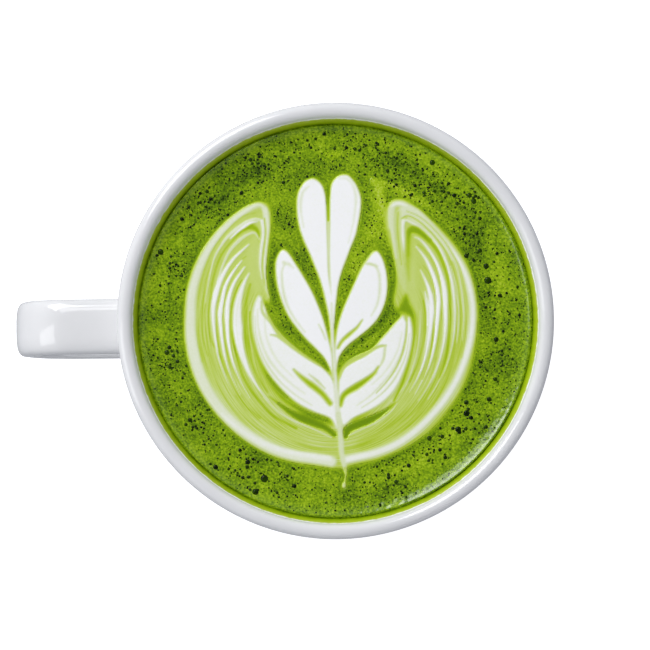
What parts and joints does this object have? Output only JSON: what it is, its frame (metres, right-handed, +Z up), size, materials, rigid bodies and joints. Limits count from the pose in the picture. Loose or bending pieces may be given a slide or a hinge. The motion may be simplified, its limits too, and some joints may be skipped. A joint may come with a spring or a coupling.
{
  "type": "matcha latte in its cup",
  "caption": "White porcelain cup with a strap handle, filled with green matcha latte whose foam carries a poured milk figure of leaves between wings.",
  "frame": {"origin": "centre of the cup's foot ring, on the surface that the cup stands on", "axes": "+Z up along the cup's axis, -X towards the handle, +Y towards the top of the milk figure"},
  "size_m": [0.1255, 0.1, 0.062],
  "materials": {
    "porcelain": "clear glaze over white porcelain",
    "matcha": "wet matcha foam, stands in for a milk drink of about 1 g/cm3",
    "milk_foam": "smooth steamed milk foam, stands in for food"
  },
  "bodies": {
    "root": {"cup": "porcelain", "matcha_latte": "matcha", "milk_figure": "milk_foam"}
  },
  "joints": []
}
